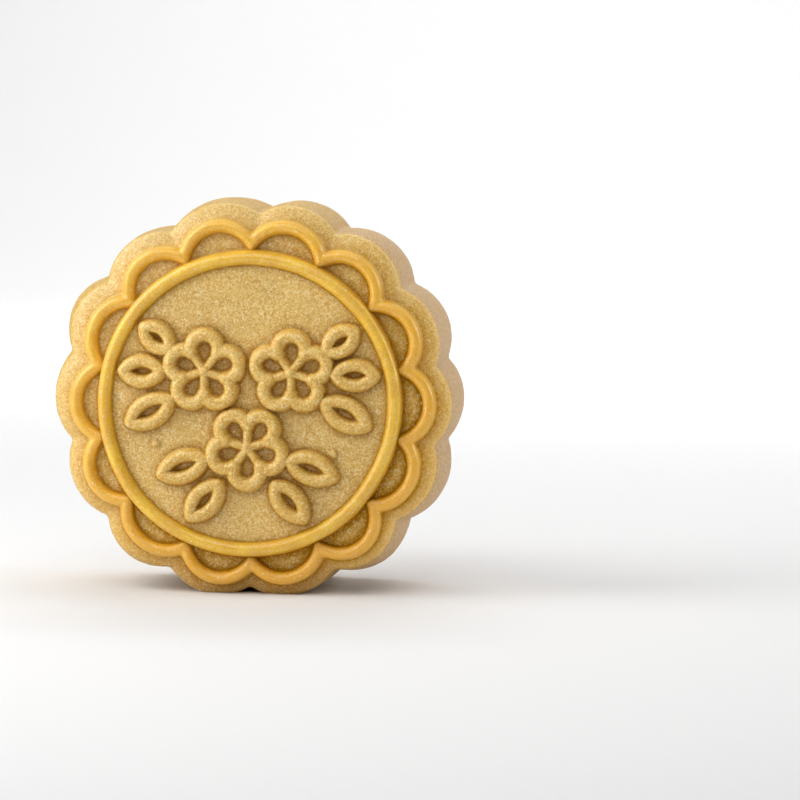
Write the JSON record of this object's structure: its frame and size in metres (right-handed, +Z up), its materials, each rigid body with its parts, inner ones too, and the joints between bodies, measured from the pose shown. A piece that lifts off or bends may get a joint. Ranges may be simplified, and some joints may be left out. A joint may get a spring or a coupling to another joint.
{
  "type": "mooncake",
  "caption": "Round baked mooncake with a scalloped wall and a face moulded in relief: a ring, a wavy rope round it and a spray of blossoms and leaves. It stands on its rim.",
  "frame": {"origin": "centre of the bounding box's underside, on the surface that the cake stands on", "axes": "+Z up, the moulded face looks along -Y, +X to the right as the face is seen"},
  "size_m": [0.0656, 0.0332, 0.0632],
  "materials": {
    "crust": "fine-grained baked pastry, golden and faintly glossy on the raised ropes, beige and dull between them"
  },
  "bodies": {
    "root": {"mooncake": "crust"}
  },
  "joints": []
}
